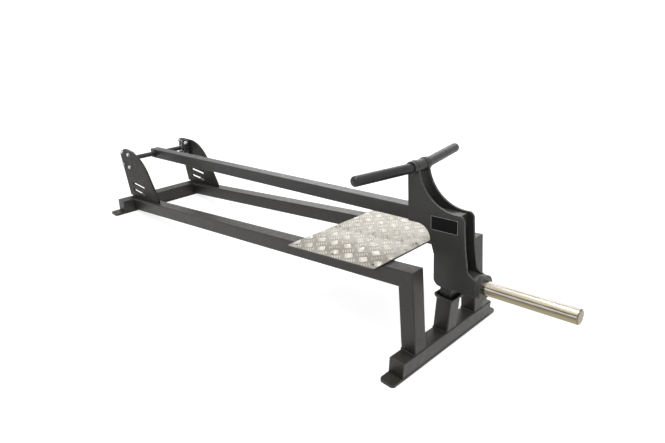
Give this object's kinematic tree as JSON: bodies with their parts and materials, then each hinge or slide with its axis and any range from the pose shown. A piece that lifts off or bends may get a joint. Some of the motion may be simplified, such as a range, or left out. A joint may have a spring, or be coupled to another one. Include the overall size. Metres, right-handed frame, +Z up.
{
  "type": "t-bar row machine",
  "caption": "Floor-standing chest-high row trainer: square-tube frame with foot plate, hinged lever arm on flanged bearings, weight sleeve and cross handle at the front.",
  "frame": {"origin": "centre of the front crossmember's base plate, on the floor", "axes": "+X along the machine towards the weight sleeve, +Y to the machine's left, +Z up"},
  "size_m": [2.4601, 0.654, 0.655],
  "materials": {
    "powder_coat": "satin charcoal powder coat",
    "cast_housing": "black painted casting",
    "zinc_plate": "zinc plated",
    "bare_steel": "ground steel",
    "brass_cage": "pressed brass",
    "rubber": "black rubber",
    "tread_aluminium": "raised-bar tread sheet",
    "dark_rivet": "dark rivet heads",
    "badge_black": "plain black plate with a pale border",
    "chrome_sleeve": "polished chrome"
  },
  "bodies": {
    "frame": {"front_base_plate": "powder_coat", "rear_base_plate": "powder_coat", "front_crossmember": "powder_coat", "rear_crossmember": "powder_coat", "crossmember_end_caps": "powder_coat", "front_post_left": "powder_coat", "front_post_right": "powder_coat", "rail_left": "powder_coat", "rail_right": "powder_coat", "foot_plate_base": "powder_coat", "tread_sheet": "tread_aluminium", "tread_rivets": "dark_rivet", "centre_post": "powder_coat", "buffer_cup": "powder_coat", "buffer_block": "rubber", "buffer_stud": "zinc_plate", "buffer_nut": "zinc_plate", "pivot_plate_left": "powder_coat", "pivot_plate_right": "powder_coat", "bearing_housing_left": "cast_housing", "bearing_housing_right": "cast_housing", "bearing_outer_rings": "bare_steel", "bearing_seals": "rubber", "grease_nipples": "zinc_plate", "bearing_bolts": "zinc_plate", "bearing_washers": "zinc_plate", "bearing_nuts": "zinc_plate"},
    "lever": {"bearing_inner_rings": "bare_steel", "bearing_set_screws": "zinc_plate", "pivot_shaft": "bare_steel", "pivot_boss": "powder_coat", "lever_arm": "powder_coat", "arm_end_caps": "powder_coat", "head_plate_left": "powder_coat", "head_plate_right": "powder_coat", "head_bottom_plate": "powder_coat", "head_ledge_plate": "powder_coat", "badge_plate": "badge_black", "sleeve_block": "powder_coat", "sleeve_core": "bare_steel", "sleeve_flange": "powder_coat", "weight_sleeve": "chrome_sleeve", "handle_bar": "powder_coat", "grip_bar_left": "powder_coat", "grip_bar_right": "powder_coat", "handle_spacer": "powder_coat", "handle_collars": "powder_coat", "grip_left": "rubber", "grip_right": "rubber"},
    "ball_set_left": {"bearing_balls_left": "bare_steel", "bearing_cage_left": "brass_cage"},
    "ball_set_right": {"bearing_balls_right": "bare_steel", "bearing_cage_right": "brass_cage"}
  },
  "joints": [
    {"name": "lever_pivot", "type": "hinge", "parent": "frame", "child": "lever", "pos_m": [-1.9545, 0, 0.273], "axis": [0, -1, 0], "range_deg": [0, 90]},
    {"name": "ball_turn_left", "type": "hinge", "parent": "frame", "child": "ball_set_left", "pos_m": [-1.9545, 0.164, 0.273], "axis": [0, -1, 0], "range_deg": [0, 36]},
    {"name": "ball_turn_right", "type": "hinge", "parent": "frame", "child": "ball_set_right", "pos_m": [-1.9545, -0.164, 0.273], "axis": [0, -1, 0], "range_deg": [0, 36]}
  ],
  "couplings": [
    {"joint": "ball_turn_left", "follows": "lever_pivot", "ratio": 0.3987},
    {"joint": "ball_turn_right", "follows": "lever_pivot", "ratio": 0.3987}
  ]
}
